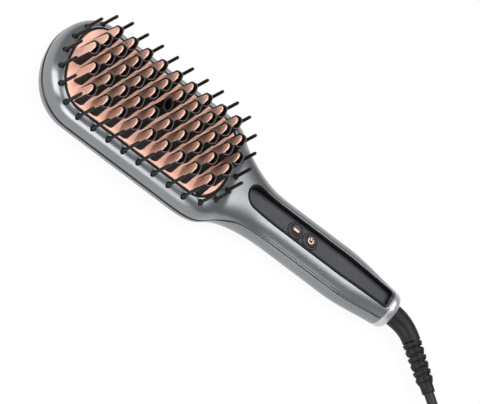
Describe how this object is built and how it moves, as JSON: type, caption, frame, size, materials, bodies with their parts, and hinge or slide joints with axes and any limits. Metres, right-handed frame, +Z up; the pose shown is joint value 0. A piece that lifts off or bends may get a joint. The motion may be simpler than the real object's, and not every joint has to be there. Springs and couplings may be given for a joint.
{
  "type": "hair straightening brush",
  "caption": "Heated hair straightening brush with an oval toothed plate in black guards, edge pins, a tapered handle with push buttons, and a coiled mains lead.",
  "frame": {"origin": "middle of the footprint of the brush without its cord, on the surface it lies on", "axes": "+X from the nose of the head to the cord exit, +Y across the brush, +Z up out of the heated plate"},
  "size_m": [0.5, 0.1117, 0.0502],
  "materials": {
    "casing": "silver-grey metallic paint",
    "plate": "copper-coloured ceramic coat",
    "guard": "satin black",
    "seal": "matte black",
    "bristle": "satin black",
    "panel": "glossy dark grey",
    "button": "glossy black, copper marks",
    "component": "matte black",
    "board": "green solder mask",
    "ceramic": "off-white",
    "heater": "extruded",
    "steel": "plain",
    "cord": "matte black",
    "pin": "nickel plated"
  },
  "bodies": {
    "brush_body": {"front_casing": "casing", "back_casing": "casing", "heating_plate": "plate", "guard_comb": "guard", "plate_seal": "seal", "bristle_frame": "bristle", "heater_bar_left": "heater", "heater_bar_right": "heater", "insulation_sheet": "ceramic", "heater_tray": "steel", "thermistor": "component", "thermal_fuse": "steel", "control_panel": "panel", "temperature_switch": "component", "power_switch": "component", "main_board": "board", "heater_terminal": "ceramic", "supply_terminal": "ceramic", "power_regulator": "component", "capacitor": "component", "heater_lead_live": "ceramic", "heater_lead_neutral": "component", "supply_lead_live": "ceramic", "supply_lead_neutral": "component", "end_cap": "casing", "swivel_socket": "ceramic", "casing_screw_1": "steel", "casing_screw_2": "steel", "casing_screw_3": "steel", "casing_screw_4": "steel", "tray_screw_1": "steel", "tray_screw_2": "steel", "tray_screw_3": "steel", "tray_screw_4": "steel", "board_screw_1": "steel", "board_screw_2": "steel", "cord_lead": "cord", "cord_coil": "cord", "cord_tie": "cord", "cord_tail": "cord", "plug_body": "cord", "plug_pin_1": "pin", "plug_pin_2": "pin"},
    "power_key": {"power_button": "button", "power_plunger": "steel"},
    "temperature_key": {"temperature_button": "button", "temperature_plunger": "steel"},
    "cord_swivel": {"swivel_bush": "component", "cord_boot": "cord"}
  },
  "joints": [
    {"name": "power_button_press", "type": "slide", "parent": "brush_body", "child": "power_key", "axis": [0, 0, -1], "range_m": [0, 0.0006], "stiffness_N_per_m": 1500, "springref_m": -0.0004},
    {"name": "temperature_button_press", "type": "slide", "parent": "brush_body", "child": "temperature_key", "axis": [0, 0, -1], "range_m": [0, 0.0006], "stiffness_N_per_m": 1500, "springref_m": -0.0004},
    {"name": "cord_swivel_turn", "type": "hinge", "parent": "brush_body", "child": "cord_swivel", "pos_m": [0.1414, 0, 0.0125], "axis": [-1, 0, 0], "continuous": true}
  ]
}
